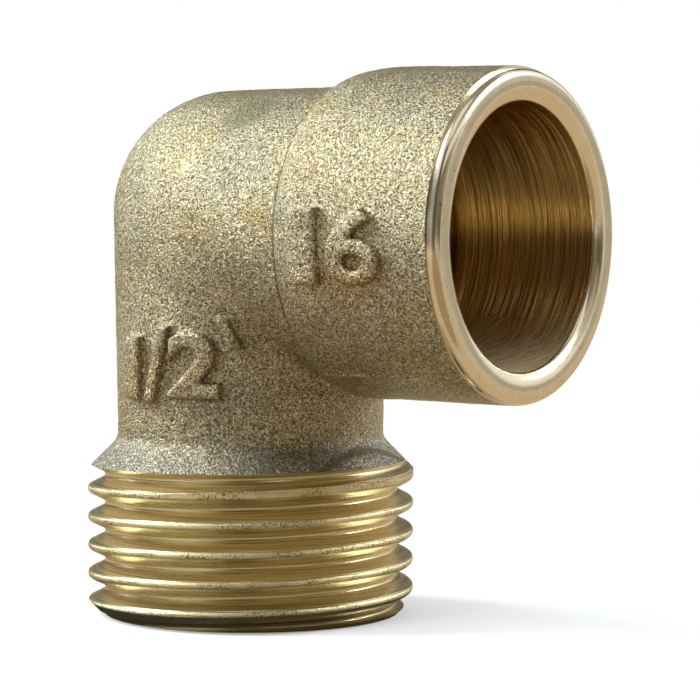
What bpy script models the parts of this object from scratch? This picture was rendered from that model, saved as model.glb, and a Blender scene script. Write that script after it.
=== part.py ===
"""Brass solder elbow: a male pipe thread, a cast right-angle bend and a capillary socket for copper tube.

Metres, +Z up. The origin is on the thread's axis, at the thread's end face, and the socket points along +X.
The real fitting is one casting. It is modelled as the three lengths that a fitter tells apart, which meet
face to face: the threaded end with its cast flare, the bend, and the socket with its turned rim and bore.
"""

import math

import bmesh
import bpy
from mathutils import Vector
from mathutils.geometry import interpolate_bezier

# Driving dimensions: the tube socket
TUBE_DIAMETER = 0.016
TUBE_CLEARANCE = 0.0002
SOCKET_DEPTH = 0.0106
SOCKET_WALL = 0.00198
SHOULDER_LENGTH = 0.0042
STOP_STEP = 0.0014
STOP_LENGTH = 0.00138
RIM_INNER_CHAMFER = 0.00055
RIM_OUTER_CHAMFER = 0.00036

# Driving dimensions: the bend
NECK_WALL = 0.0026
CROTCH_RADIUS = 0.0005
BACK_RADIUS = 0.0074
PASSAGE_CROTCH_RADIUS = 0.0010
PASSAGE_BACK_RADIUS = 0.0060
LEG_WALL = 0.0018
LEG_LENGTH = 0.00272
LEG_DRAFT = math.radians(1.4)

# Driving dimensions: the threaded end, a G 1/2 parallel pipe thread
THREAD_DIAMETER = 0.020955
THREAD_PITCH = 0.001814
THREAD_LENGTH = 0.0093
THREAD_CHAMFER = 0.00095
MOUTH_CHAMFER = 0.0004
FLARE_HEIGHT = 0.0024
FLARE_FILLET = 0.00042

# The thread's form, as shares of its pitch, and its run-out into the flare, in turns
THREAD_DEPTH_SHARE = 0.640327
ROOT_WIDTH_SHARE = 1 / 6
FLANK_ANGLE = math.radians(27.5)
RUN_OUT_RISE = 0.46
RUN_OUT_ANGLE = math.radians(95)
FADE_TURNS = 0.35
LEAD_IN_TURNS = 0.5
FADE_LIFT_SHARE = 0.65

# The hair's breadth that keeps the three solids of the casting apart
JOIN_GAP = 0.000005
CUT_OVERRUN = 0.001
GROOVE_OVERRUN = 0.0001

# Facets
ROUND_STEPS = 64
BEND_STEPS = 14
CURVE_STEPS = 6
BEZIER_ARC = 0.5523
FILLET_PULL = 0.85
SHARP_ANGLE = math.radians(30)

# Sizes that follow from the driving dimensions
SOCKET_BORE_RADIUS = (TUBE_DIAMETER + TUBE_CLEARANCE) / 2
SOCKET_RADIUS = SOCKET_BORE_RADIUS + SOCKET_WALL
PASSAGE_RADIUS = SOCKET_BORE_RADIUS - STOP_STEP
NECK_RADIUS = PASSAGE_RADIUS + NECK_WALL
LEG_RADIUS = PASSAGE_RADIUS + LEG_WALL
THREAD_RADIUS = THREAD_DIAMETER / 2
THREAD_DEPTH = THREAD_DEPTH_SHARE * THREAD_PITCH
FLARE_TOP = THREAD_LENGTH + FLARE_HEIGHT
LEG_START = FLARE_TOP + JOIN_GAP
TURN_HEIGHT = LEG_START + LEG_LENGTH
TURN_RADIUS = LEG_RADIUS + LEG_LENGTH * math.tan(LEG_DRAFT)
SOCKET_AXIS_HEIGHT = TURN_HEIGHT + CROTCH_RADIUS + NECK_RADIUS
NECK_END = TURN_RADIUS + CROTCH_RADIUS
SOCKET_START = NECK_END + JOIN_GAP
SOCKET_LENGTH = STOP_LENGTH + SOCKET_DEPTH

# Brass as cast, as turned on the socket's rim, and as cut on the thread
CAST_BRASS = ("cast_brass", (0.30, 0.22, 0.095, 1.0), 0.48)
TURNED_BRASS = ("turned_brass", (0.55, 0.42, 0.20, 1.0), 0.30)
THREAD_BRASS = ("thread_brass", (0.50, 0.34, 0.12, 1.0), 0.34)


def clear_scene():
    """Remove every object that the file starts with."""
    for obj in list(bpy.data.objects):
        bpy.data.objects.remove(obj, do_unlink=True)


def make_collection(name):
    """A collection in the scene."""
    collection = bpy.data.collections.new(name)
    bpy.context.scene.collection.children.link(collection)
    return collection


def make_material(finish):
    """A metal from its name, colour and roughness."""
    name, colour, roughness = finish
    material = bpy.data.materials.new(name)
    material.use_nodes = True
    shader = material.node_tree.nodes["Principled BSDF"]
    shader.inputs["Base Color"].default_value = colour
    shader.inputs["Metallic"].default_value = 1.0
    shader.inputs["Roughness"].default_value = roughness
    return material


def curve_points(start, start_handle, end_handle, end):
    """Points of a turned profile, as (radius, height), along a Bezier curve."""
    knots = [Vector((radius, 0, height)) for radius, height in (start, start_handle, end_handle, end)]
    return [(point.x, point.z) for point in interpolate_bezier(*knots, CURVE_STEPS + 1)]


def swept(name, profile, collection, rise=0.0, turns=1):
    """A closed profile swept round Z: a ring, or where it rises with each turn, an open-ended helix.

    The profile is a row of (radius, height) that runs down its outer side first.
    """
    mesh = bpy.data.meshes.new(name)
    count = len(profile)
    edges = [(index, (index + 1) % count) for index in range(count)]
    mesh.from_pydata([(radius, 0, height) for radius, height in profile], edges, [])
    obj = bpy.data.objects.new(name, mesh)
    collection.objects.link(obj)
    screw = obj.modifiers.new("Turn", "SCREW")
    screw.axis = "Z"
    screw.screw_offset = rise
    screw.iterations = turns
    screw.steps = ROUND_STEPS
    screw.render_steps = ROUND_STEPS
    screw.use_merge_vertices = rise == 0
    screw.merge_threshold = 0.00001

    graph = bpy.context.evaluated_depsgraph_get()
    obj.data = bpy.data.meshes.new_from_object(obj.evaluated_get(graph))
    obj.modifiers.clear()
    bpy.data.meshes.remove(mesh)
    obj.data.shade_smooth()
    obj.data.set_sharp_from_angle(angle=SHARP_ANGLE)
    return obj


def thread_groove(cutters):
    """The thread's groove as a solid: a helix that starts below the end face and fades out in the flare."""
    end = THREAD_LENGTH + RUN_OUT_RISE * THREAD_PITCH
    turns = math.ceil(end / THREAD_PITCH + LEAD_IN_TURNS)
    root = THREAD_RADIUS - THREAD_DEPTH
    mouth = THREAD_RADIUS + GROOVE_OVERRUN
    root_half = ROOT_WIDTH_SHARE * THREAD_PITCH / 2
    mouth_half = root_half + (mouth - root) * math.tan(FLANK_ANGLE)
    profile = [(mouth, mouth_half), (mouth, -mouth_half), (root, -root_half), (root, root_half)]
    obj = swept("thread_groove", profile, cutters, THREAD_PITCH, turns)

    shape = bmesh.new()
    shape.from_mesh(obj.data)
    for vert in shape.verts:
        share = math.atan2(vert.co.y, vert.co.x) / (2 * math.pi) % 1
        turn = round(vert.co.z / THREAD_PITCH - share) + share
        faded = max(0, 1 - (turns - turn) / FADE_TURNS)
        radius = math.hypot(vert.co.x, vert.co.y)
        vert.co.xy *= 1 + faded * FADE_LIFT_SHARE * THREAD_DEPTH / radius
    bmesh.ops.holes_fill(shape, edges=[edge for edge in shape.edges if edge.is_boundary])
    bmesh.ops.recalc_face_normals(shape, faces=shape.faces)
    shape.to_mesh(obj.data)
    shape.free()
    obj.rotation_euler.z = RUN_OUT_ANGLE
    obj.location.z = end - turns * THREAD_PITCH
    return obj


def cut_out(obj, cutter):
    """Take a cutter out of a piece, and show the cutter as wire only."""
    cutter.hide_render = True
    cutter.display_type = "WIRE"
    cut = obj.modifiers.new(cutter.name, "BOOLEAN")
    cut.operation = "DIFFERENCE"
    cut.solver = "EXACT"
    cut.object = cutter


def threaded_end(collection, cutters):
    """The spigot: a cast flare that narrows to the leg, over a chamfered blank with the thread cut into it."""
    start = Vector((LEG_RADIUS, FLARE_TOP))
    knee = Vector((LEG_RADIUS, FLARE_TOP - FLARE_FILLET))
    foot = Vector((THREAD_RADIUS, THREAD_LENGTH))
    flare = curve_points(start, start.lerp(knee, FILLET_PULL), foot.lerp(knee, FILLET_PULL), foot)
    profile = flare + [
        (THREAD_RADIUS, THREAD_CHAMFER),
        (THREAD_RADIUS - THREAD_CHAMFER, 0),
        (PASSAGE_RADIUS + MOUTH_CHAMFER, 0),
        (PASSAGE_RADIUS, MOUTH_CHAMFER),
        (PASSAGE_RADIUS, FLARE_TOP),
    ]
    obj = swept("threaded_end", profile, collection)
    cut_out(obj, thread_groove(cutters))
    obj.data.materials.append(make_material(THREAD_BRASS))
    return obj


def solder_socket(collection):
    """The socket, turned about its own axis and then laid along +X: shoulder, chamfered rim, bore and stop."""
    rise = SOCKET_RADIUS - NECK_RADIUS
    shoulder = curve_points((SOCKET_RADIUS, SHOULDER_LENGTH),
                            (SOCKET_RADIUS, SHOULDER_LENGTH * (1 - BEZIER_ARC)),
                            (NECK_RADIUS + rise * BEZIER_ARC, SHOULDER_LENGTH * (1 - BEZIER_ARC) / 2),
                            (NECK_RADIUS, 0))
    profile = [
        (SOCKET_BORE_RADIUS + RIM_INNER_CHAMFER, SOCKET_LENGTH),
        (SOCKET_RADIUS - RIM_OUTER_CHAMFER, SOCKET_LENGTH),
        (SOCKET_RADIUS, SOCKET_LENGTH - RIM_OUTER_CHAMFER),
    ] + shoulder + [
        (PASSAGE_RADIUS, 0),
        (PASSAGE_RADIUS, STOP_LENGTH),
        (SOCKET_BORE_RADIUS, STOP_LENGTH),
        (SOCKET_BORE_RADIUS, SOCKET_LENGTH - RIM_INNER_CHAMFER),
    ]
    obj = swept("solder_socket", profile, collection)
    obj.location = (SOCKET_START, 0, SOCKET_AXIS_HEIGHT)
    obj.rotation_euler = (0, math.pi / 2, 0)
    obj.data.materials.append(make_material(TURNED_BRASS))
    return obj


def bend_rings(start, end, leg_radius, draft, neck_radius, crotch, back):
    """Sections of a bent bar, from a height on the thread's axis to a distance along the socket's axis.

    Each section is an ellipse, given as its centre, its half axis in the plane of the bend and its half
    width. The sections of the turn fan out from a tight arc in the crotch to a wider one at the back.
    """
    turn_height = SOCKET_AXIS_HEIGHT - neck_radius - crotch
    top = SOCKET_AXIS_HEIGHT + neck_radius

    def radius_at(height):
        return leg_radius + (height - start) * math.tan(draft)

    turn_radius = radius_at(turn_height)
    hub = Vector((turn_radius + crotch, 0, turn_height))
    corner = Vector((-radius_at(top), 0, top))
    below_corner = Vector((-radius_at(top - back), 0, top - back))
    past_corner = corner + Vector((back, 0, 0))
    outer = [Vector((-turn_radius, 0, turn_height))]
    outer += interpolate_bezier(below_corner, below_corner.lerp(corner, BEZIER_ARC),
                                past_corner.lerp(corner, BEZIER_ARC), past_corner, BEND_STEPS + 1)
    outer.append(Vector((hub.x, 0, top)))

    rings = [(Vector((0, 0, start)), Vector((-leg_radius, 0, 0)), leg_radius)]
    last = len(outer) - 1
    for index, outer_point in enumerate(outer):
        share = index / last
        angle = share * math.pi / 2
        inner_point = hub + crotch * Vector((-math.cos(angle), 0, math.sin(angle)))
        width = turn_radius + (neck_radius - turn_radius) * share
        rings.append(((outer_point + inner_point) / 2, (outer_point - inner_point) / 2, width))
    if end - hub.x > JOIN_GAP:
        rings.append((Vector((end, 0, SOCKET_AXIS_HEIGHT)), Vector((0, 0, neck_radius)), neck_radius))
    return rings


def lofted(name, rings, collection):
    """A closed solid through a row of elliptical sections."""
    mesh = bpy.data.meshes.new(name)
    shape = bmesh.new()
    loops = []
    for centre, half_axis, half_width in rings:
        loop = []
        for step in range(ROUND_STEPS):
            angle = 2 * math.pi * step / ROUND_STEPS
            across = Vector((0, half_width * math.sin(angle), 0))
            loop.append(shape.verts.new(centre + half_axis * math.cos(angle) + across))
        loops.append(loop)
    for lower, upper in zip(loops, loops[1:]):
        for step in range(ROUND_STEPS):
            after = (step + 1) % ROUND_STEPS
            face = shape.faces.new((lower[step], lower[after], upper[after], upper[step]))
            face.smooth = True
    shape.faces.new(loops[0])
    shape.faces.new(loops[-1])
    bmesh.ops.recalc_face_normals(shape, faces=shape.faces)
    shape.to_mesh(mesh)
    shape.free()
    obj = bpy.data.objects.new(name, mesh)
    collection.objects.link(obj)
    return obj


def elbow_body(collection, cutters):
    """The leg and the bend, with the cored passage cut through them."""
    outside = bend_rings(LEG_START, NECK_END, LEG_RADIUS, LEG_DRAFT, NECK_RADIUS, CROTCH_RADIUS, BACK_RADIUS)
    obj = lofted("elbow_body", outside, collection)
    passage = bend_rings(LEG_START - CUT_OVERRUN, NECK_END + CUT_OVERRUN, PASSAGE_RADIUS, 0, PASSAGE_RADIUS,
                         PASSAGE_CROTCH_RADIUS, PASSAGE_BACK_RADIUS)
    cut_out(obj, lofted("passage", passage, cutters))
    obj.data.materials.append(make_material(CAST_BRASS))
    return obj


def main():
    """Build the fitting under one empty at the centre of the thread's end face."""
    clear_scene()
    parts = make_collection("pipe_elbow")
    cutters = make_collection("cutters")
    datum = bpy.data.objects.new("pipe_elbow_datum", None)
    parts.objects.link(datum)
    for piece in (threaded_end(parts, cutters), elbow_body(parts, cutters), solder_socket(parts)):
        piece.parent = datum


if __name__ == "__main__":
    main()
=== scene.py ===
"""Dressed brass solder elbow, made in the order a foundry makes one: poured, bored, turned and threaded."""

import math

import bmesh
import bpy
from mathutils import Matrix, Vector
from mathutils.geometry import interpolate_bezier


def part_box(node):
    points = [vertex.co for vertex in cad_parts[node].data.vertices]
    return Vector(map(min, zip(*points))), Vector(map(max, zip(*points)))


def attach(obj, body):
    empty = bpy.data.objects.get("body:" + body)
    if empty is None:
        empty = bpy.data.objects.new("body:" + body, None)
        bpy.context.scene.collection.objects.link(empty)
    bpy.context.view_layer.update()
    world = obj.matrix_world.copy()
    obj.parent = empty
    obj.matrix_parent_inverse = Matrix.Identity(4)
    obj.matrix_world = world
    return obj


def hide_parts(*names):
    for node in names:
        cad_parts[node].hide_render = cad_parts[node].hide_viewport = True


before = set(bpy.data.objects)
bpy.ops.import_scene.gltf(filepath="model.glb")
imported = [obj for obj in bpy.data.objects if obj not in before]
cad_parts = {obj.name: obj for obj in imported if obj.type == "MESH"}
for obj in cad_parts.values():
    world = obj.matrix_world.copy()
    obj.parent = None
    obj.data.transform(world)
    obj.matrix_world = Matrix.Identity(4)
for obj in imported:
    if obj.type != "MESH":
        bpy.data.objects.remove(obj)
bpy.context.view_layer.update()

bl_info = {
    "name": "Brass solder elbow",
    "version": (1, 0, 0),
    "blender": (4, 5, 0),
    "location": "View3D > Sidebar > Elbow",
    "description": "Casts, turns and threads a brass solder elbow on its packed frame",
    "category": "Object",
}

# The frame: the CAD box, and the sizes that the pieces take from it
THREAD_LOW, THREAD_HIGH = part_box("threaded_end")
BODY_LOW, BODY_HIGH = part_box("elbow_body")
SOCKET_LOW, SOCKET_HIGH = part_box("solder_socket")
AXIS_HEIGHT = (SOCKET_LOW[2] + SOCKET_HIGH[2]) / 2
SOCKET_START = SOCKET_LOW[0]
RIM = SOCKET_HIGH[0]
FLARE_TOP = THREAD_HIGH[2]

# Slots of every piece, in this order
CAST, TURNED, BORED, THREADED = range(4)
FINISH_NAMES = ("cast_brass_skin", "turned_brass_rim", "bored_brass_wall", "cut_brass_thread")

MM = 0.001

# Curves and facets
BEZIER_ARC = 0.5523
BEND_STEPS = 24
PASSAGE_STEPS = 20
FILLET_STEPS = 8
SHOULDER_STEPS = 16
ROUND_STEPS = 10
CAST_SIDES = 96
TURNED_SIDES = 144
SMOOTH_ANGLE = math.radians(38)

# Hair's breadths: beside a rounding, between points that merge, and at the planes that part the lengths
LOOP_GAP = 0.02 * MM
MERGE_GAP = 0.002 * MM
SPIN_GAP = 0.002 * MM
PART_GAP = 0.001 * MM

# Metal that is cut away past the finished ends, and how far blanks and tools reach past what they meet
CASTING_SPARE = 0.6 * MM
TOOL_OVERRUN = 1.0 * MM
SEAT_OVERRUN = 0.1 * MM
GROOVE_OVERRUN = 0.2 * MM
LAND_CUT = 0.03 * MM

# The cast socket: how steeply its back rises, how soon it levels out, and the share of its lift at the rim
BACK_HANDLE = 0.8
LEVEL_HANDLE = 0.3
FILLET_HANDLE = 0.8
RIM_LIFT_SHARE = 0.25

# The cast skin: grain of its lumps and of its sand, and the share of the relief that the sand has
LUMP_GRAIN = 1.6 * MM
SAND_GRAIN = 0.45 * MM
SAND_SHARE = 0.6

# The thread: half the angle between its flanks, turns of the groove, and where and how it leaves the metal
FLANK_ANGLE = math.radians(27.5)
ROOT_ROUND_SHARE = 0.137329
CREST_ROUND_SHARE = 0.19
CREST_GAP_SHARE = 0.02
FLANK_STEPS = 4
THREAD_TURNS = 6
TURN_STEPS = 96
RUN_OUT_ANGLE = math.radians(95)
RUN_OUT_HEIGHT = 10.13 * MM
FADE_ANGLE = math.radians(190)
FADE_LIFT = 0.85 * MM

# The tube size on the socket: numeral, place along the socket, width, boldness and rise
SOCKET_MARKS = (
    ("1", 11.75 * MM, 2.1 * MM, 0.0, 0.20 * MM),
    ("6", 15.4 * MM, 3.8 * MM, -0.014, 0.11 * MM),
)
SOCKET_MARK_HIGH = 4.5 * MM
SOCKET_MARK_DROP = math.radians(2.8)

# The thread size on the leg: numeral or stroke, angle round the leg in degrees, height, width, length,
# boldness and rise
LEG_MARKS = (
    ("1", -108.0, 16.0 * MM, 1.4 * MM, 4.0 * MM, 0.0, 0.12 * MM),
    ("/", -93.5, 16.3 * MM, 2.0 * MM, 4.8 * MM, 0.0, 0.12 * MM),
    ("2", -75.9, 16.3 * MM, 3.5 * MM, 4.2 * MM, 0.0, 0.15 * MM),
    ("\\", -61.0, 18.3 * MM, 1.7 * MM, 1.9 * MM, 0.035, 0.40 * MM),
)

# The stage in metres. Lamps: name, place, size and power
LAMPS = (
    ("key_lamp", (-0.34, -0.15, 0.31), 0.27, 3.6),
    ("top_lamp", (0.02, -0.10, 0.45), 0.30, 0.2),
    ("right_lamp", (0.285, 0.285, 0.28), 0.22, 1.7),
    ("fill_lamp", (-0.14, -0.43, 0.10), 0.30, 1.7),
)
LAMP_COLOUR = (0.90, 0.97, 1.0)
LAMP_AIM = Vector((0, 0, 0.018))

# Upright cards that only reflections show: name, place, width, height and tone
CARDS = (
    ("front_card", (0.63, -0.38, 0.28), 1.50, 0.56, (0.22, 0.185, 0.135)),
    ("camera_card", (0.085, -0.185, 0.19), 0.13, 0.38, (0.08, 0.07, 0.05)),
    ("left_card", (-0.180, -0.172, 0.12), 0.22, 0.24, (0.08, 0.07, 0.05)),
    ("side_card", (-0.043, -0.246, 0.10), 0.16, 0.20, (0.08, 0.07, 0.05)),
    ("tan_card", (0.205, 0.385, 0.032), 0.352, 0.056, (0.46, 0.40, 0.32)),
    ("low_card", (0.400, 0.100, 0.040), 0.300, 0.066, (0.07, 0.06, 0.045)),
    ("right_card", (0.405, 0.184, 0.150), 0.234, 0.212, (0.45, 0.40, 0.33)),
    ("back_card", (-0.54, 0.455, 0.45), 1.50, 0.90, (0.16, 0.145, 0.12)),
)

# Round cloths that only reflections show: name, place, radius and tone
CLOTHS = (
    ("ceiling_cloth", (0, 0, 0.60), 0.450, (0.30, 0.285, 0.255)),
    # Painted shadow: the next three cloths darken the floor under and in front of the fitting, in reflections
    # alone
    ("contact_shadow_cloth", (0, 0, 0.00004), 0.0125, (0.05, 0.045, 0.04)),
    ("shade_cloth", (0, 0, 0.00003), 0.020, (0.45, 0.36, 0.25)),
    ("front_shade_cloth", (0.085, -0.072, 0.00002), 0.080, (0.40, 0.30, 0.20)),
    ("warm_cloth", (0, 0, 0.00001), 0.400, (0.68, 0.52, 0.355)),
)
FLOOR_SIZE = 6.0
SHADOW_REACH = 0.075
ROOM_LEVEL = 0.6

# The photograph's camera: place in metres, turns, and lens and sensor in millimetres
CAMERA_PLACE = (0.104782, -0.135182, 0.025455)
CAMERA_YAW = math.radians(35.644)
CAMERA_PITCH = math.radians(90 - 2.876)
CAMERA_ROLL = math.radians(0.120)
CAMERA_LENS = 136.73
CAMERA_SENSOR = 36.0
CAMERA_CLIP = 0.01


def length(name, description, default):
    """A size in metres for the sidebar."""
    return bpy.props.FloatProperty(name=name, description=description, default=default, unit="LENGTH",
                                   precision=5, min=0.0)


def colour(name, description, default):
    """A linear colour for the sidebar."""
    return bpy.props.FloatVectorProperty(name=name, description=description, default=default, size=4,
                                         subtype="COLOR", min=0.0, max=1.0)


class ElbowSizes(bpy.types.PropertyGroup):
    """Sizes of the fitting that the solids leave open."""

    thread_radius: length("Thread radius", "Half the thread's major diameter", THREAD_HIGH[0])
    thread_pitch: length("Thread pitch", "Rise of the thread in one turn", 1.814 * MM)
    thread_depth: length("Thread depth", "Crest to root", 1.10 * MM)
    thread_length: length("Thread length", "End face to the foot of the flare", 9.3 * MM)
    thread_chamfer: length("Thread chamfer", "Chamfer at the end of the thread", 0.95 * MM)
    blank_allowance: length("Turning allowance", "Metal on the casting that turning takes off", 0.35 * MM)
    leg_radius: length("Leg radius", "Radius of the leg above the flare", 8.5 * MM)
    leg_draft: bpy.props.FloatProperty(name="Leg draft", description="Taper of the leg in the mould",
                                       default=math.radians(1.4), subtype="ANGLE")
    neck_radius: length("Neck radius", "Radius of the bend where it meets the socket",
                        (BODY_HIGH[1] - BODY_LOW[1]) / 2)
    crotch_radius: length("Crotch radius", "Fillet under the socket", 0.5 * MM)
    back_drop: length("Back drop", "Rounding of the bend's outer corner, down the leg", 6.9 * MM)
    back_run: length("Back run", "Rounding of the bend's outer corner, along the socket", 8.2 * MM)
    socket_radius: length("Socket radius", "Outside of the socket", (SOCKET_HIGH[2] - SOCKET_LOW[2]) / 2)
    shoulder_length: length("Shoulder length", "Rounded back of the socket", 3.0 * MM)
    shoulder_rise: length("Shoulder rise", "Cast metal over the turned land, at the shoulder", 0.14 * MM)
    rim_rise: length("Rim rise", "Cast metal over the turned land, at the rim", 0.08 * MM)
    core_drop: length("Core drop", "How far the bore sits under the middle of the cast socket", 0.20 * MM)
    flare_fillet: length("Flare fillet", "Rounding where the flare meets the leg", 0.42 * MM)
    bore_radius: length("Bore radius", "Half the bore for the tube", 8.1 * MM)
    bore_depth: length("Bore depth", "Rim to tube stop", 10.6 * MM)
    passage_radius: length("Passage radius", "Half the water way", 6.7 * MM)
    passage_crotch: length("Passage crotch", "Inner rounding of the water way's turn", 1.0 * MM)
    passage_back: length("Passage back", "Outer rounding of the water way's turn", 6.0 * MM)
    mouth_chamfer: length("Mouth chamfer", "Chamfer of the water way at the thread's end", 0.4 * MM)
    rim_lead_in: length("Rim lead-in", "Width of the domed face inside the rim", 1.22 * MM)
    rim_lead_depth: length("Rim lead-in depth", "Fall of the domed face towards the bore", 0.50 * MM)
    rim_chamfer: length("Rim edge", "Rounding outside the rim", 0.48 * MM)
    rim_land: length("Rim land", "Width of the band turned behind the rim", 0.26 * MM)
    mark_relief: length("Mark relief", "Height of the cast numerals", 0.55 * MM)
    skin_voxel: length("Skin voxel", "Finest form in the cast skin", 0.16 * MM)
    skin_relief: length("Skin relief", "Unevenness of the cast skin", 0.07 * MM)


class ElbowColours(bpy.types.PropertyGroup):
    """Colours of the brass, in linear values."""

    cast: colour("Cast brass", "Middle tone of the cast skin", (0.47, 0.41, 0.25, 1.0))
    # Dark grain of the cast skin and pits of the rim, and also the painted shade where the bend meets the
    # socket
    cast_dark_and_shade: colour("Cast hollows", "Dark tone of the cast skin", (0.115, 0.085, 0.038, 1.0))
    cast_pale: colour("Cast peaks", "Pale tone of the cast skin", (0.80, 0.80, 0.68, 1.0))
    cast_gold: colour("Cast gold", "Warm patches of the cast skin", (0.45, 0.30, 0.115, 1.0))
    cast_grey: colour("Cast grey", "Dull patches of the cast skin", (0.30, 0.295, 0.225, 1.0))
    patina: colour("Patina", "Grey-green spot on the bend", (0.17, 0.185, 0.11, 1.0))
    flare: colour("Flare", "Skin above the thread", (0.27, 0.265, 0.23, 1.0))
    turned: colour("Turned brass", "Rim and land", (0.74, 0.66, 0.48, 1.0))
    bored: colour("Bored brass", "Inside of the socket", (0.66, 0.465, 0.20, 1.0))
    bored_pale: colour("Bored ridges", "Ridges that the boring tool left", (0.72, 0.54, 0.27, 1.0))
    thread: colour("Thread brass", "Cut thread", (0.72, 0.63, 0.385, 1.0))
    # Tool lines and torn metal, and also the painted shade at the thread's foot and at the far end of the
    # bore
    thread_dark_and_shade: colour("Thread shade", "Tool lines and torn metal on the thread", (0.16, 0.11, 0.04, 1.0))
    ground: colour("Floor", "Floor and surroundings", (0.90, 0.90, 0.90, 1.0))


class Socket:
    """One output of a node, with sums written as Python expressions."""

    def __init__(self, finish, output):
        self.finish = finish
        self.output = output

    def math(self, operation, first, second):
        return self.finish.node("ShaderNodeMath", {"operation": operation}, {0: first, 1: second})

    def __add__(self, other):
        return self.math("ADD", self, other)

    def __radd__(self, other):
        return self.math("ADD", other, self)

    def __sub__(self, other):
        return self.math("SUBTRACT", self, other)

    def __rsub__(self, other):
        return self.math("SUBTRACT", other, self)

    def __mul__(self, other):
        return self.math("MULTIPLY", self, other)

    def __rmul__(self, other):
        return self.math("MULTIPLY", other, self)

    def __pow__(self, other):
        return self.math("POWER", self, other)


class Finish:
    """A node tree under construction."""

    def __init__(self, tree):
        self.tree = tree
        tree.nodes.clear()

    def node(self, kind, settings=None, inputs=None, output=0):
        """Add a node: its settings first, then the values or links of its sockets."""
        made = self.tree.nodes.new(kind)
        for key, value in (settings or {}).items():
            setattr(made, key, value)
        for key, value in (inputs or {}).items():
            if isinstance(value, Socket):
                self.tree.links.new(value.output, made.inputs[key])
            else:
                made.inputs[key].default_value = value
        return Socket(self, made.outputs[output]) if made.outputs else made

    def place(self):
        """Object coordinates."""
        return self.node("ShaderNodeTexCoord", output="Object")

    def axes(self, place):
        """The three coordinates of a place."""
        parts = self.tree.nodes.new("ShaderNodeSeparateXYZ")
        self.tree.links.new(place.output, parts.inputs[0])
        return [Socket(self, output) for output in parts.outputs]

    def noise(self, place, scale, detail=2.0, roughness=0.5):
        """Noise from 0 to 1."""
        return self.node("ShaderNodeTexNoise", None,
                         {"Vector": place, "Scale": scale, "Detail": detail, "Roughness": roughness})

    def stretched(self, place, scale):
        """A place with each axis scaled by itself."""
        return self.node("ShaderNodeMapping", None, {"Vector": place, "Scale": scale})

    def ramp(self, value, low, high):
        """A value brought from the span low to high onto 0 to 1."""
        return self.node("ShaderNodeMapRange", {"clamp": True},
                         {"Value": value, "From Min": low, "From Max": high})

    def mix(self, factor, first, second):
        """A blend of two colours."""
        return self.node("ShaderNodeMix", {"data_type": "RGBA"}, {0: factor, 6: first, 7: second}, output=2)

    def near(self, place, point, reach):
        """1 at a point, falling to 0 at a distance from it."""
        gap = self.node("ShaderNodeVectorMath", {"operation": "DISTANCE"}, {0: place, 1: point}, output=1)
        return self.ramp(gap, reach, 0.0)

    def bump(self, height, distance, strength=1.0, under=None):
        """A bump, on top of another where one is given."""
        inputs = {"Height": height, "Distance": distance, "Strength": strength}
        if under:
            inputs["Normal"] = under
        return self.node("ShaderNodeBump", None, inputs)

    def metal(self, base, roughness, normal):
        """Brass with this colour, roughness and normal."""
        shader = self.node("ShaderNodeBsdfPrincipled", None, {
            "Base Color": base, "Metallic": 1.0, "Roughness": roughness, "Normal": normal})
        self.node("ShaderNodeOutputMaterial", None, {"Surface": shader})


def new_finish(index):
    """A new material for one of the slots."""
    material = bpy.data.materials.new(FINISH_NAMES[index])
    material.use_nodes = True
    return material, Finish(material.node_tree)


def cast_finish(tones):
    """Sand-cast skin: sparkling grain, gold and grey patches, a greyer flare, a dull spot on the bend and
    painted shade where the bend meets the socket.
    """
    material, finish = new_finish(CAST)
    place = finish.place()
    grain = finish.noise(place, 10500.0, 2.0, 0.55)
    sand = finish.noise(place, 5200.0, 2.0)
    patch = finish.noise(place, 260.0, 3.0)
    drift = finish.noise(finish.stretched(place, (170.0, 170.0, 240.0)), 1.0, 2.0)
    sparkle = 0.65 * grain + 0.35 * sand
    along, _, height = finish.axes(place)
    patina_spot = (3.9 * MM, -5.3 * MM, 31.85 * MM)
    worn_spot = (1.2 * MM, -8.2 * MM, 28.64 * MM)
    crease_place = SOCKET_START - 0.12 * MM
    base = finish.mix(0.6 * finish.ramp(patch, 0.53, 0.68), tuple(tones.cast), tuple(tones.cast_gold))
    base = finish.mix(0.6 * finish.ramp(drift, 0.52, 0.66), base, tuple(tones.cast_grey))
    flare = finish.ramp(height + 2.2 * MM * patch, FLARE_TOP + 2.0 * MM, FLARE_TOP - 0.4 * MM)
    base = finish.mix(0.85 * flare, base, tuple(tones.flare))
    base = finish.mix(finish.ramp(sparkle, 0.53, 0.41), base, tuple(tones.cast_dark_and_shade))
    base = finish.mix(finish.ramp(sparkle, 0.555, 0.64), base, tuple(tones.cast_pale))
    patina = finish.near(place, patina_spot, 2.0 * MM) * finish.ramp(sand + patch, 0.86, 1.06)
    base = finish.mix(0.75 * finish.ramp(patina, 0.0, 0.4), base, tuple(tones.patina))
    worn = finish.near(place, worn_spot, 1.1 * MM) * finish.ramp(sand, 0.30, 0.60)
    base = finish.mix(0.9 * worn, base, tuple(tones.cast))
    # Painted shade: the skin darkens to the hollow tone in a thin band where the bend meets the socket.
    from_crease = finish.node("ShaderNodeMath", {"operation": "ABSOLUTE"}, {0: along - crease_place})
    painted_crease_shade = finish.ramp(from_crease + 0.3 * MM * sand, 0.46 * MM, 0.26 * MM)
    base = finish.mix(0.85 * painted_crease_shade, base, tuple(tones.cast_dark_and_shade))
    normal = finish.bump(sand * (1 - 0.7 * worn), 0.10 * MM, 0.6)
    normal = finish.bump(grain * (1 - 0.7 * worn), 0.10 * MM, 1.0, normal)
    finish.metal(base, 0.27 + 0.20 * grain, normal)
    return material


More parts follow.
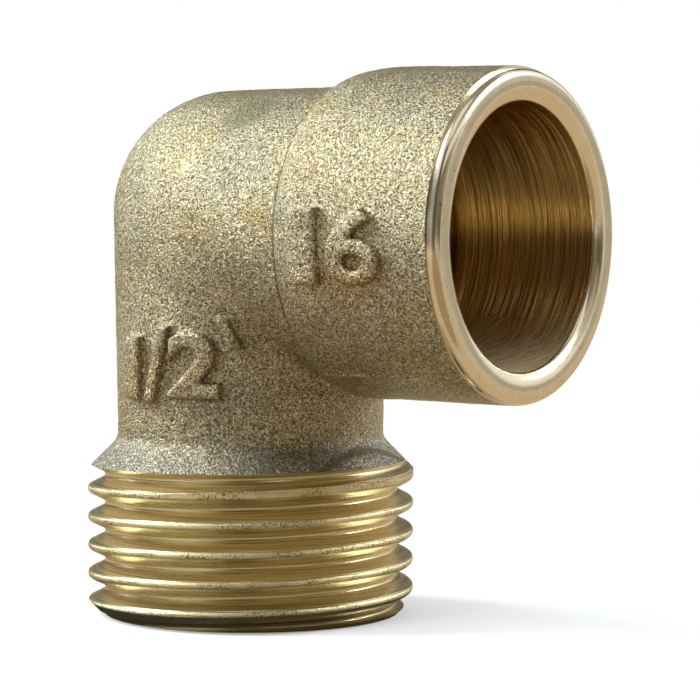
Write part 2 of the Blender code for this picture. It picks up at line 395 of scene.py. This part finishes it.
def turned_finish(tones):
    """Turned rim: fine rings about the socket's axis."""
    material, finish = new_finish(TURNED)
    place = finish.place()
    x, y, z = finish.axes(place)
    from_axis = (y * y + (z - AXIS_HEIGHT) * (z - AXIS_HEIGHT)) ** 0.5
    rings = finish.noise(finish.node("ShaderNodeCombineXYZ", None, {0: from_axis, 1: x}), 9000.0, 2.0)
    wear = finish.noise(place, 900.0, 3.0)
    pits = finish.noise(place, 4300.0, 2.0)
    base = finish.mix(0.35 * finish.ramp(wear, 0.45, 0.75), tuple(tones.turned), tuple(tones.cast_pale))
    base = finish.mix(finish.ramp(pits, 0.70, 0.76), base, tuple(tones.cast_dark_and_shade))
    finish.metal(base, 0.13 + 0.06 * rings + 0.05 * wear, finish.bump(rings, 0.001 * MM, 0.4))
    return material


def bored_finish(tones):
    """Bored wall: rings of the boring tool, with scratches along the bottom and painted shade at the far end
    by the tube stop.
    """
    material, finish = new_finish(BORED)
    place = finish.place()
    along, _, height = finish.axes(place)
    rings = finish.noise(finish.stretched(place, (27000.0, 60.0, 60.0)), 1.0, 1.0)
    ridges = finish.noise(finish.stretched(place, (2400.0, 60.0, 60.0)), 1.0, 1.0)
    scratches = finish.noise(finish.node("ShaderNodeMapping", {"vector_type": "TEXTURE"}, {
        "Vector": place, "Rotation": (0.0, 0.0, 0.8), "Scale": (1.1 * MM, 0.10 * MM, 1.1 * MM)}), 1.0, 2.0)
    bottom = finish.ramp(height, AXIS_HEIGHT - 4.4 * MM, AXIS_HEIGHT - 7.2 * MM)
    worn = bottom * finish.ramp(scratches, 0.54, 0.64)
    base = finish.mix(finish.ramp(ridges, 0.58, 0.68), tuple(tones.bored), tuple(tones.bored_pale))
    base = finish.mix(0.6 * bottom + 0.4 * worn, base, tuple(tones.turned))
    # Painted shade: the wall darkens towards the tube stop at the far end of the bore.
    painted_deep_shade = finish.ramp(along, RIM - 9.8 * MM, RIM - 10.5 * MM)
    base = finish.mix(0.9 * painted_deep_shade, base, tuple(tones.thread_dark_and_shade))
    normal = finish.bump(rings * (1 - 0.6 * bottom), 0.05 * MM, 0.85)
    normal = finish.bump(worn, 0.03 * MM, 0.8, normal)
    finish.metal(base, 0.14 + 0.06 * rings + 0.42 * bottom, normal)
    return material


def thread_finish(tones):
    """Cut thread: drawn lines along the flanks, torn metal on the crests and painted shade darkening the foot
    by the floor.
    """
    material, finish = new_finish(THREADED)
    place = finish.place()
    x, y, z = finish.axes(place)
    from_axis = (x * x + y * y) ** 0.5
    lines = finish.noise(finish.stretched(place, (110.0, 110.0, 17000.0)), 1.0, 2.0)
    torn = finish.noise(place, 8200.0, 3.0, 0.65)
    dull = finish.noise(place, 420.0, 2.0)
    radius = THREAD_HIGH[0]
    crest = finish.ramp(from_axis, radius - 0.10 * MM, radius - 0.02 * MM)
    tear = crest * finish.ramp(torn, 0.50, 0.57) * finish.ramp(dull, 0.43, 0.55)
    # Painted shade: the bottom of the thread darkens towards the floor it stands on.
    foot = finish.ramp(z, 1.0 * MM, 0.2 * MM)
    base = finish.mix(0.4 * finish.ramp(lines, 0.52, 0.34), tuple(tones.thread), tuple(tones.thread_dark_and_shade))
    base = finish.mix(0.9 * tear, base, tuple(tones.thread_dark_and_shade))
    base = finish.mix(0.5 * foot, base, tuple(tones.thread_dark_and_shade))
    normal = finish.bump(lines, 0.02 * MM, 0.5)
    normal = finish.bump(torn * crest, 0.08 * MM, 0.9, normal)
    finish.metal(base, 0.21 + 0.12 * lines + 0.10 * crest, normal)
    return material


def select_only(obj):
    """Make one object the only selected one, and the active one."""
    bpy.ops.object.select_all(action="DESELECT")
    obj.select_set(True)
    bpy.context.view_layer.objects.active = obj


def give_finishes(obj, slot):
    """Give a blank or a tool all four finishes, with its faces on one of them."""
    for name in FINISH_NAMES:
        obj.data.materials.append(bpy.data.materials[name])
    obj.data.polygons.foreach_set("material_index", [slot] * len(obj.data.polygons))


def round_section(centre, radius, along):
    """A round section across an axis: its centre and the two half axes of its circle."""
    if along == "X":
        return Vector(centre), Vector((0, 0, radius)), Vector((0, radius, 0))
    return Vector(centre), Vector((-radius, 0, 0)), Vector((0, radius, 0))


def extruded(name, sections, sides, slot):
    """A closed bar: a circle extruded from section to section, each an ellipse."""
    bpy.ops.object.select_all(action="DESELECT")
    bpy.ops.mesh.primitive_circle_add(vertices=sides, radius=sections[0][1].length, fill_type="NGON")
    obj = bpy.context.object
    obj.name = name
    bpy.ops.object.mode_set(mode="EDIT")
    shape = bmesh.from_edit_mesh(obj.data)
    turn = shape.verts.layers.float.new("turn")
    for step, vert in enumerate(shape.verts):
        vert[turn] = 2 * math.pi * step / sides
    for index, (centre, half_axis, half_width) in enumerate(sections):
        if index:
            bpy.ops.mesh.extrude_region_move()
            shape = bmesh.from_edit_mesh(obj.data)
            turn = shape.verts.layers.float["turn"]
        for vert in shape.verts:
            if vert.select:
                vert.co = centre + half_axis * math.cos(vert[turn]) + half_width * math.sin(vert[turn])
        bmesh.update_edit_mesh(obj.data)
    bpy.ops.mesh.select_all(action="SELECT")
    bpy.ops.mesh.normals_make_consistent(inside=False)
    bpy.ops.object.mode_set(mode="OBJECT")
    give_finishes(obj, slot)
    return obj


def spun(name, profile, axis, slot):
    """A ring tool: a closed profile of (radius, place along the axis) spun about the thread or the socket."""
    bpy.ops.object.select_all(action="DESELECT")
    bpy.ops.mesh.primitive_circle_add(vertices=len(profile), radius=MM, fill_type="NOTHING")
    obj = bpy.context.object
    obj.name = name
    bpy.ops.object.mode_set(mode="EDIT")
    shape = bmesh.from_edit_mesh(obj.data)
    for vert, (radius, along) in zip(shape.verts, profile):
        vert.co = (radius, 0, along) if axis == "Z" else (along, 0, AXIS_HEIGHT + radius)
    bmesh.update_edit_mesh(obj.data)
    centre, direction = ((0, 0, 0), (0, 0, 1)) if axis == "Z" else ((0, 0, AXIS_HEIGHT), (1, 0, 0))
    bpy.ops.mesh.spin(steps=TURNED_SIDES, angle=2 * math.pi, center=centre, axis=direction)
    bpy.ops.mesh.select_all(action="SELECT")
    bpy.ops.mesh.remove_doubles(threshold=SPIN_GAP)
    bpy.ops.mesh.normals_make_consistent(inside=False)
    bpy.ops.object.mode_set(mode="OBJECT")
    give_finishes(obj, slot)
    return obj


def bend_sections(start, end, leg_radius, draft, neck_radius, crotch, back_drop, back_run, steps):
    """Sections of a bent bar, from a height on the thread's axis to a place on the socket's axis."""
    turn_height = AXIS_HEIGHT - neck_radius - crotch
    top = AXIS_HEIGHT + neck_radius
    taper = math.tan(draft)
    turn_radius = leg_radius + (turn_height - FLARE_TOP) * taper
    hub = Vector((turn_radius + crotch, 0, turn_height))
    corner = Vector((-leg_radius - (top - FLARE_TOP) * taper, 0, top))
    below_corner = Vector((-leg_radius - (top - back_drop - FLARE_TOP) * taper, 0, top - back_drop))
    past_corner = corner + Vector((back_run, 0, 0))
    outer = [Vector((-turn_radius, 0, turn_height))]
    outer += interpolate_bezier(below_corner, below_corner.lerp(corner, BEZIER_ARC),
                                past_corner.lerp(corner, BEZIER_ARC), past_corner, steps)
    outer.append(Vector((hub.x, 0, top)))

    sections = [round_section((0, 0, start), leg_radius, "Z")]
    last = len(outer) - 1
    for index, outer_point in enumerate(outer):
        share = index / last
        angle = share * math.pi / 2
        inner_point = hub + crotch * Vector((-math.cos(angle), 0, math.sin(angle)))
        half_width = turn_radius + (neck_radius - turn_radius) * share
        sections.append(((outer_point + inner_point) / 2, (outer_point - inner_point) / 2,
                         Vector((0, half_width, 0))))
    sections.append(round_section((end, 0, AXIS_HEIGHT), neck_radius, "X"))
    return sections


def carve(piece, tool):
    """Cut a tool out of a piece and put the tool away."""
    select_only(piece)
    cut = piece.modifiers.new(tool.name, "BOOLEAN")
    cut.operation = "DIFFERENCE"
    cut.solver = "MANIFOLD"
    cut.object = tool
    bpy.ops.object.modifier_apply(modifier=cut.name)
    mesh = tool.data
    bpy.data.objects.remove(tool)
    bpy.data.meshes.remove(mesh)


def numeral(glyph, wide, high, relief, boldness):
    """One plain block numeral as a centred mesh of a given size, sunk by as much as it stands out."""
    bpy.ops.object.select_all(action="DESELECT")
    bpy.ops.object.text_add()
    obj = bpy.context.object
    obj.data.body = glyph
    obj.data.offset = boldness
    obj.data.extrude = 0.06
    obj.data.bevel_depth = 0.045
    obj.data.bevel_resolution = 2
    bpy.ops.object.convert(target="MESH")
    obj = bpy.context.object
    spots = [vert.co for vert in obj.data.vertices]
    low = Vector([min(spot[axis] for spot in spots) for axis in range(3)])
    top = Vector([max(spot[axis] for spot in spots) for axis in range(3)])
    middle = (low + top) / 2
    span = top - low
    for vert in obj.data.vertices:
        vert.co -= middle
        vert.co = (vert.co.x * wide / span.x, vert.co.y * high / span.y, vert.co.z * 2 * relief / span.z)
    return obj


class ELBOW_OT_finishes(bpy.types.Operator):
    """Make the four brass finishes"""

    bl_idname = "elbow.finishes"
    bl_label = "Finishes"

    def execute(self, context):
        tones = context.scene.elbow_colours
        for make in (cast_finish, turned_finish, bored_finish, thread_finish):
            make(tones)
        return {"FINISHED"}


class ELBOW_OT_casting(bpy.types.Operator):
    """Pour the casting: leg, bend, socket and flare in one rough skin with raised numerals"""

    bl_idname = "elbow.casting"
    bl_label = "Casting"

    def execute(self, context):
        sizes = context.scene.elbow_sizes
        bend = extruded("casting", bend_sections(
            FLARE_TOP - TOOL_OVERRUN, SOCKET_START + TOOL_OVERRUN, sizes.leg_radius, sizes.leg_draft,
            sizes.neck_radius, sizes.crotch_radius, sizes.back_drop, sizes.back_run, BEND_STEPS),
            CAST_SIDES, CAST)
        blanks = [bend, self.socket_blank(sizes), self.thread_blank(sizes)]
        blanks += self.socket_marks(sizes) + self.leg_marks(sizes) + [self.flash(sizes)]
        select_only(bend)
        for blank in blanks:
            blank.select_set(True)
        bpy.ops.object.join()
        bend.data.remesh_voxel_size = sizes.skin_voxel
        bpy.ops.object.voxel_remesh()
        smooth = bend.modifiers.new("Soften", "SMOOTH")
        smooth.factor = 0.5
        smooth.iterations = 4
        bpy.ops.object.modifier_apply(modifier=smooth.name)
        self.roughen(bend, "lumps", LUMP_GRAIN, sizes.skin_relief)
        self.roughen(bend, "sand", SAND_GRAIN, sizes.skin_relief * SAND_SHARE)
        bend.data.materials.clear()
        give_finishes(bend, CAST)
        return {"FINISHED"}

    def socket_blank(self, sizes):
        """The socket as cast, with a rounded back, draft towards the rim and metal to spare there."""
        neck = sizes.neck_radius
        full = sizes.socket_radius + sizes.shoulder_rise
        start, run = SOCKET_START, sizes.shoulder_length
        back = interpolate_bezier(
            Vector((start, 0, neck)), Vector((start, 0, neck + (full - neck) * BACK_HANDLE)),
            Vector((start + run * LEVEL_HANDLE, 0, full)), Vector((start + run, 0, full)), SHOULDER_STEPS)
        places = [(point.x, point.z) for point in back]
        places.append((RIM + CASTING_SPARE, sizes.socket_radius + sizes.rim_rise))
        sections = []
        for x, radius in places:
            to_rim = (RIM - x) / (RIM - start - run)
            lift = sizes.core_drop * min((x - start) / run, to_rim * (1 - RIM_LIFT_SHARE) + RIM_LIFT_SHARE)
            sections.append(round_section((x, 0, AXIS_HEIGHT + lift), radius, "X"))
        return extruded("socket_blank", sections, CAST_SIDES, CAST)

    def thread_blank(self, sizes):
        """The flare, a cone with a fillet, and the blank under it with metal to spare for turning."""
        top = sizes.leg_radius
        blank = sizes.thread_radius + sizes.blank_allowance
        foot = sizes.thread_length - sizes.blank_allowance
        throat = Vector((top, 0, sizes.thread_length + sizes.thread_radius - top))
        above = throat + Vector((0, 0, FLARE_TOP - throat.z))
        below = throat + Vector((1, 0, -1)) * sizes.flare_fillet
        fillet = interpolate_bezier(above, above.lerp(throat, FILLET_HANDLE),
                                    below.lerp(throat, FILLET_HANDLE), below, FILLET_STEPS)
        places = [(top, FLARE_TOP + TOOL_OVERRUN)] + [(point.x, point.z) for point in fillet]
        places += [(blank, foot), (blank, -CASTING_SPARE)]
        sections = [round_section((0, 0, z), radius, "Z") for radius, z in places]
        return extruded("thread_blank", sections, CAST_SIDES, CAST)

    def socket_marks(self, sizes):
        """The tube size on the socket's side."""
        marks = []
        for glyph, along, wide, boldness, rise in SOCKET_MARKS:
            mark = numeral(glyph, wide, SOCKET_MARK_HIGH, sizes.mark_relief, boldness)
            radius = sizes.socket_radius + rise
            for vert in mark.data.vertices:
                angle = vert.co.y / radius - SOCKET_MARK_DROP
                reach = radius + vert.co.z
                vert.co = (along + vert.co.x, -reach * math.cos(angle), AXIS_HEIGHT + reach * math.sin(angle))
            marks.append(mark)
        return marks

    def leg_marks(self, sizes):
        """The thread size on the leg."""
        marks = []
        for glyph, azimuth, height, wide, high, boldness, rise in LEG_MARKS:
            mark = numeral(glyph, wide, high, sizes.mark_relief, boldness)
            radius = sizes.leg_radius + rise
            for vert in mark.data.vertices:
                angle = vert.co.x / radius + math.radians(azimuth)
                reach = radius + vert.co.z
                vert.co = (reach * math.cos(angle), reach * math.sin(angle), height + vert.co.y)
            marks.append(mark)
        return marks

    def flash(self, sizes):
        """The thin ridge that the mould's joint left under the socket."""
        bpy.ops.object.select_all(action="DESELECT")
        bpy.ops.mesh.primitive_cube_add(size=1.0)
        ridge = bpy.context.object
        ridge.name = "flash"
        radius = sizes.socket_radius + sizes.rim_rise
        middle = Vector((13.4 * MM, 0, AXIS_HEIGHT + sizes.core_drop * 0.8))
        angle = math.radians(-56)
        run, rise, thick = 6.6 * MM, 0.3 * MM, 0.25 * MM
        outward = Vector((0, -math.cos(angle), math.sin(angle)))
        sideways = Vector((0, math.sin(angle), math.cos(angle)))
        for vert in ridge.data.vertices:
            along, out, side = vert.co.x * run, vert.co.y * rise, vert.co.z * thick
            vert.co = middle + Vector((along, 0, 0)) + outward * (radius + out) + sideways * side
        return ridge

    def roughen(self, piece, name, grain, relief):
        """Push the skin in and out by noise."""
        texture = bpy.data.textures.new(name, "CLOUDS")
        texture.noise_scale = grain
        texture.noise_depth = 2
        push = piece.modifiers.new(name, "DISPLACE")
        push.texture = texture
        push.texture_coords = "LOCAL"
        push.strength = relief
        push.mid_level = 0.5
        select_only(piece)
        bpy.ops.object.modifier_apply(modifier=push.name)


class ELBOW_OT_socket(bpy.types.Operator):
    """Bore the socket and the water way, and turn the rim"""

    bl_idname = "elbow.socket"
    bl_label = "Bore and rim"

    def execute(self, context):
        sizes = context.scene.elbow_sizes
        casting = bpy.data.objects["casting"]
        carve(casting, extruded("passage_tool", bend_sections(
            -TOOL_OVERRUN, RIM - sizes.bore_depth + SEAT_OVERRUN, sizes.passage_radius, 0.0,
            sizes.passage_radius, sizes.passage_crotch, sizes.passage_back, sizes.passage_back,
            PASSAGE_STEPS), CAST_SIDES, CAST))
        bore = sizes.bore_radius
        lead_in, fall = sizes.rim_lead_in, sizes.rim_lead_depth
        places = [(RIM - sizes.bore_depth, bore), (RIM - fall - LOOP_GAP, bore)]
        for step in range(ROUND_STEPS + 1):
            turn = math.pi / 2 * step / ROUND_STEPS
            places.append((RIM - fall * (1 - math.sin(turn)), bore + lead_in * (1 - math.cos(turn))))
        places += [(RIM + SEAT_OVERRUN, bore + lead_in), (RIM + TOOL_OVERRUN, bore + lead_in)]
        sections = [round_section((x, 0, AXIS_HEIGHT), radius, "X") for x, radius in places]
        bore_tool = extruded("bore_tool", sections, TURNED_SIDES, BORED)
        for face in bore_tool.data.polygons:
            if face.center.x > RIM - fall:
                face.material_index = TURNED
        carve(casting, bore_tool)
        land = sizes.socket_radius - LAND_CUT
        outside = sizes.socket_radius + TOOL_OVERRUN
        inside = 1.0 * MM
        start = RIM - sizes.rim_chamfer - sizes.rim_land
        edge = []
        for step in range(ROUND_STEPS + 1):
            turn = math.pi / 2 * step / ROUND_STEPS
            edge.append((land - sizes.rim_chamfer * (1 - math.cos(turn)),
                         RIM - sizes.rim_chamfer * (1 - math.sin(turn))))
        carve(casting, spun("rim_tool", [
            (outside, start), (land, start), (land, RIM - sizes.rim_chamfer - LOOP_GAP)] + edge + [
            (land - sizes.rim_chamfer - LOOP_GAP, RIM), (bore + lead_in + LOOP_GAP, RIM),
            (inside, RIM), (inside, RIM + TOOL_OVERRUN), (outside, RIM + TOOL_OVERRUN)], "X", TURNED))
        return {"FINISHED"}


class ELBOW_OT_thread(bpy.types.Operator):
    """Turn the end of the leg and cut the thread into it"""

    bl_idname = "elbow.thread"
    bl_label = "Thread"

    def execute(self, context):
        sizes = context.scene.elbow_sizes
        casting = bpy.data.objects["casting"]
        radius = sizes.thread_radius
        outside = radius + 2 * TOOL_OVERRUN
        below = -2 * TOOL_OVERRUN
        mouth = sizes.passage_radius + sizes.mouth_chamfer
        inside = sizes.passage_radius - TOOL_OVERRUN
        carve(casting, spun("turning_tool", [
            (outside, sizes.thread_length), (radius, sizes.thread_length), (radius, sizes.thread_chamfer),
            (radius - sizes.thread_chamfer, 0), (mouth, 0), (inside, mouth - inside),
            (inside, below), (outside, below)], "Z", THREADED))
        carve(casting, self.thread_tool(sizes))
        return {"FINISHED"}

    def thread_tool(self, sizes):
        """The groove as a solid: its rounded section swept up a helix that fades out in the flare."""
        profile = self.groove(sizes)
        bpy.ops.object.select_all(action="DESELECT")
        bpy.ops.mesh.primitive_circle_add(vertices=len(profile), radius=MM, fill_type="NOTHING")
        obj = bpy.context.object
        obj.name = "thread_tool"
        start_height = RUN_OUT_HEIGHT - THREAD_TURNS * sizes.thread_pitch
        for vert, (radius, along) in zip(obj.data.vertices, profile):
            vert.co = (radius * math.cos(RUN_OUT_ANGLE), radius * math.sin(RUN_OUT_ANGLE),
                       start_height + along)
        sweep = obj.modifiers.new("Helix", "SCREW")
        sweep.axis = "Z"
        sweep.angle = 2 * math.pi
        sweep.screw_offset = sizes.thread_pitch
        sweep.iterations = THREAD_TURNS
        sweep.steps = TURN_STEPS
        sweep.render_steps = TURN_STEPS
        bpy.ops.object.modifier_apply(modifier=sweep.name)
        self.fade(obj, sizes)
        bpy.ops.object.mode_set(mode="EDIT")
        bpy.ops.mesh.select_mode(type="EDGE")
        bpy.ops.mesh.select_all(action="DESELECT")
        bpy.ops.mesh.select_non_manifold(extend=False)
        bpy.ops.mesh.fill()
        bpy.ops.mesh.select_all(action="SELECT")
        bpy.ops.mesh.normals_make_consistent(inside=False)
        bpy.ops.mesh.select_mode(type="VERT")
        bpy.ops.object.mode_set(mode="OBJECT")
        give_finishes(obj, THREADED)
        return obj

    def groove(self, sizes):
        """The section of the groove between two crests, as (radius, place along the axis)."""
        pitch = sizes.thread_pitch
        root_round = ROOT_ROUND_SHARE * pitch
        crest_round = CREST_ROUND_SHARE * pitch
        crest_gap = CREST_GAP_SHARE * pitch
        sweep = math.pi / 2 - FLANK_ANGLE
        root = sizes.thread_radius - sizes.thread_depth
        half = []
        for step in range(FLANK_STEPS + 1):
            angle = sweep * step / FLANK_STEPS
            half.append((root + root_round * (1 - math.cos(angle)), root_round * math.sin(angle)))
        for step in range(FLANK_STEPS + 1):
            angle = sweep * (1 - step / FLANK_STEPS)
            half.append((sizes.thread_radius - crest_round * (1 - math.cos(angle)),
                         pitch / 2 - crest_round * math.sin(angle)))
        half[-1] = (sizes.thread_radius, pitch / 2 - crest_gap)
        outside = (sizes.thread_radius + GROOVE_OVERRUN, pitch / 2 - crest_gap)
        upper = half + [outside]
        lower = [(radius, -along) for radius, along in reversed(upper[1:])]
        return lower + upper

    def fade(self, obj, sizes):
        """Lift the last part of the groove out of the metal, as the tool leaves it."""
        pitch = sizes.thread_pitch
        end_slack = 0.001
        for vert in obj.data.vertices:
            angle = math.atan2(vert.co.y, vert.co.x)
            behind = (RUN_OUT_ANGLE - angle + end_slack) % (2 * math.pi)
            centre = RUN_OUT_HEIGHT - behind / (2 * math.pi) * pitch
            if behind < FADE_ANGLE and abs(vert.co.z - centre) < pitch / 2:
                reach = math.hypot(vert.co.x, vert.co.y)
                grown = (reach + FADE_LIFT * (1 - behind / FADE_ANGLE)) / reach
                vert.co.x *= grown
                vert.co.y *= grown


class ELBOW_OT_lengths(bpy.types.Operator):
    """Part the finished fitting into the three lengths of the frame"""

    bl_idname = "elbow.lengths"
    bl_label = "Lengths"

    def execute(self, context):
        casting = bpy.data.objects["casting"]
        above = (Vector((0, 0, FLARE_TOP)), Vector((0, 0, 1)))
        below = (Vector((0, 0, FLARE_TOP)), Vector((0, 0, -1)))
        inside = (Vector((SOCKET_START, 0, 0)), Vector((-1, 0, 0)))
        outside = (Vector((SOCKET_START, 0, 0)), Vector((1, 0, 0)))
        self.length(casting, "threaded_end_brass", [below], "threaded_end", "thread_brass")
        self.length(casting, "elbow_body_brass", [above, inside], "elbow_body", "cast_brass")
        self.length(casting, "solder_socket_brass", [above, outside], "solder_socket", "turned_brass")
        mesh = casting.data
        bpy.data.objects.remove(casting)
        bpy.data.meshes.remove(mesh)
        return {"FINISHED"}

    def length(self, casting, name, keep, node, slot):
        """Copy the fitting, keep what lies on one side of each plane, and let it stand for a node."""
        piece = casting.copy()
        piece.data = casting.data.copy()
        piece.name = name
        bpy.context.collection.objects.link(piece)
        select_only(piece)
        bpy.ops.object.mode_set(mode="EDIT")
        for point, side in keep:
            bpy.ops.mesh.select_all(action="SELECT")
            bpy.ops.mesh.bisect(plane_co=point, plane_no=side, use_fill=True, clear_inner=True,
                                threshold=PART_GAP)
        bpy.ops.mesh.select_all(action="SELECT")
        bpy.ops.mesh.remove_doubles(threshold=MERGE_GAP)
        bpy.ops.mesh.dissolve_degenerate(threshold=MERGE_GAP)
        self.straighten(piece)
        bpy.ops.object.mode_set(mode="OBJECT")
        if not piece.data.polygons:
            raise RuntimeError(name + " came out empty")
        bpy.ops.object.shade_smooth_by_angle(angle=SMOOTH_ANGLE)
        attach(piece, "root")
        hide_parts(node)

    def straighten(self, piece):
        """Take out the points that lie on one edge between two faces, where slivers would fold over."""
        shape = bmesh.from_edit_mesh(piece.data)
        for vert in shape.verts:
            vert.select_set(len(vert.link_edges) == 2)
        shape.select_flush(False)
        bmesh.update_edit_mesh(piece.data)
        bpy.ops.mesh.dissolve_verts()


class ELBOW_OT_stage(bpy.types.Operator):
    """Set the floor, the light and the camera"""

    bl_idname = "elbow.stage"
    bl_label = "Stage"

    def execute(self, context):
        tones = context.scene.elbow_colours
        self.floor(tones)
        self.surroundings(context, tones)
        for lamp in LAMPS:
            self.lamp(*lamp)
        for card in CARDS:
            self.card(*card)
        for cloth in CLOTHS:
            self.cloth(*cloth)
        self.camera(context)
        context.scene.view_settings.view_transform = "Standard"
        return {"FINISHED"}

    def floor(self, tones):
        """A pale floor that shows as the white of the photograph and keeps a soft shadow."""
        bpy.ops.object.select_all(action="DESELECT")
        bpy.ops.mesh.primitive_plane_add(size=FLOOR_SIZE)
        floor = bpy.context.object
        floor.name = "floor"
        material = bpy.data.materials.new("pale_floor")
        material.use_nodes = True
        finish = Finish(material.node_tree)
        matt = finish.node("ShaderNodeBsdfDiffuse", None, {"Color": tuple(tones.ground)})
        white = finish.node("ShaderNodeEmission", None, {"Color": (1, 1, 1, 1), "Strength": 1.0})
        away = 1 - finish.near(finish.place(), (0, 0, 0), SHADOW_REACH)
        shader = finish.node("ShaderNodeMixShader", None, {0: self.seen(finish) * away, 1: matt, 2: white})
        finish.node("ShaderNodeOutputMaterial", None, {"Surface": shader})
        floor.data.materials.append(material)

    def seen(self, finish):
        """1 for a ray that looks at the surroundings straight, in a reflection or through glass."""
        path = finish.tree.nodes.new("ShaderNodeLightPath")
        camera, glossy, through = (Socket(finish, path.outputs[name]) for name in
                                   ("Is Camera Ray", "Is Glossy Ray", "Is Transmission Ray"))
        return finish.node("ShaderNodeClamp", None, {"Value": camera + glossy + through})

    def surroundings(self, context, tones):
        """A white room for what looks at it, with a plain level of light."""
        world = bpy.data.worlds.new("studio")
        world.use_nodes = True
        context.scene.world = world
        finish = Finish(world.node_tree)
        dim = finish.node("ShaderNodeBackground", None, {
            "Color": tuple(tones.ground), "Strength": ROOM_LEVEL})
        white = finish.node("ShaderNodeBackground", None, {"Color": (1, 1, 1, 1), "Strength": 1.0})
        shader = finish.node("ShaderNodeMixShader", None, {0: self.seen(finish), 1: dim, 2: white})
        finish.node("ShaderNodeOutputWorld", None, {"Surface": shader})

    def lamp(self, name, place, size, power):
        """A square soft lamp aimed at the fitting."""
        light = bpy.data.lights.new(name, "AREA")
        light.energy = power
        light.size = size
        light.color = LAMP_COLOUR
        obj = bpy.data.objects.new(name, light)
        obj.location = place
        aim = LAMP_AIM - Vector(place)
        obj.rotation_euler = aim.to_track_quat("-Z", "Y").to_euler()
        bpy.context.collection.objects.link(obj)

    def card(self, name, place, wide, high, tone):
        """An upright card, turned towards the fitting."""
        bpy.ops.object.select_all(action="DESELECT")
        bpy.ops.mesh.primitive_plane_add(size=1.0)
        card = bpy.context.object
        card.name = name
        middle = Vector(place)
        across = Vector((-middle.y, middle.x, 0)).normalized()
        for vert in card.data.vertices:
            vert.co = middle + across * vert.co.x * wide + Vector((0, 0, vert.co.y * high))
        self.tint(card, tone)

    def cloth(self, name, place, radius, tone):
        """A round cloth under or over the fitting."""
        bpy.ops.object.select_all(action="DESELECT")
        bpy.ops.mesh.primitive_circle_add(vertices=64, radius=radius, fill_type="NGON", location=place)
        cloth = bpy.context.object
        cloth.name = name
        self.tint(cloth, tone)

    def tint(self, obj, tone):
        """Give a stage piece an even tone, and let it show in reflections alone."""
        material = bpy.data.materials.new(obj.name)
        material.use_nodes = True
        finish = Finish(material.node_tree)
        even = finish.node("ShaderNodeEmission", None, {"Color": tone + (1,), "Strength": 1.0})
        finish.node("ShaderNodeOutputMaterial", None, {"Surface": even})
        obj.data.materials.append(material)
        obj.visible_camera = False
        obj.visible_diffuse = False
        obj.visible_shadow = False

    def camera(self, context):
        """The photograph's camera: where it stood, how it was turned and its lens."""
        view = bpy.data.cameras.new("camera")
        view.sensor_width = CAMERA_SENSOR
        view.lens = CAMERA_LENS
        view.clip_start = CAMERA_CLIP
        obj = bpy.data.objects.new("camera", view)
        turn = Matrix.Rotation(CAMERA_YAW, 4, "Z") @ Matrix.Rotation(CAMERA_PITCH, 4, "X")
        turn = turn @ Matrix.Rotation(CAMERA_ROLL, 4, "Z")
        obj.matrix_world = Matrix.Translation(CAMERA_PLACE) @ turn
        context.collection.objects.link(obj)
        context.scene.camera = obj


class ELBOW_PT_panel(bpy.types.Panel):
    """The steps of making the fitting, in order"""

    bl_idname = "ELBOW_PT_panel"
    bl_label = "Brass solder elbow"
    bl_space_type = "VIEW_3D"
    bl_region_type = "UI"
    bl_category = "Elbow"

    def draw(self, context):
        for operator in OPERATORS:
            self.layout.operator(operator.bl_idname)
        for group in (context.scene.elbow_sizes, context.scene.elbow_colours):
            for name in group.__annotations__:
                self.layout.prop(group, name)


OPERATORS = (ELBOW_OT_finishes, ELBOW_OT_casting, ELBOW_OT_socket, ELBOW_OT_thread, ELBOW_OT_lengths,
             ELBOW_OT_stage)
CLASSES = (ElbowSizes, ElbowColours) + OPERATORS + (ELBOW_PT_panel,)


def register():
    """Make the classes known to Blender, and hang the sizes and colours on the scene."""
    for cls in CLASSES:
        bpy.utils.register_class(cls)
    bpy.types.Scene.elbow_sizes = bpy.props.PointerProperty(type=ElbowSizes)
    bpy.types.Scene.elbow_colours = bpy.props.PointerProperty(type=ElbowColours)


def unregister():
    """Take the classes back out."""
    del bpy.types.Scene.elbow_colours
    del bpy.types.Scene.elbow_sizes
    for cls in reversed(CLASSES):
        bpy.utils.unregister_class(cls)


def main():
    """Make the fitting and its stage."""
    register()
    bpy.ops.elbow.finishes()
    bpy.ops.elbow.casting()
    bpy.ops.elbow.socket()
    bpy.ops.elbow.thread()
    bpy.ops.elbow.lengths()
    bpy.ops.elbow.stage()


if __name__ == "__main__":
    main()
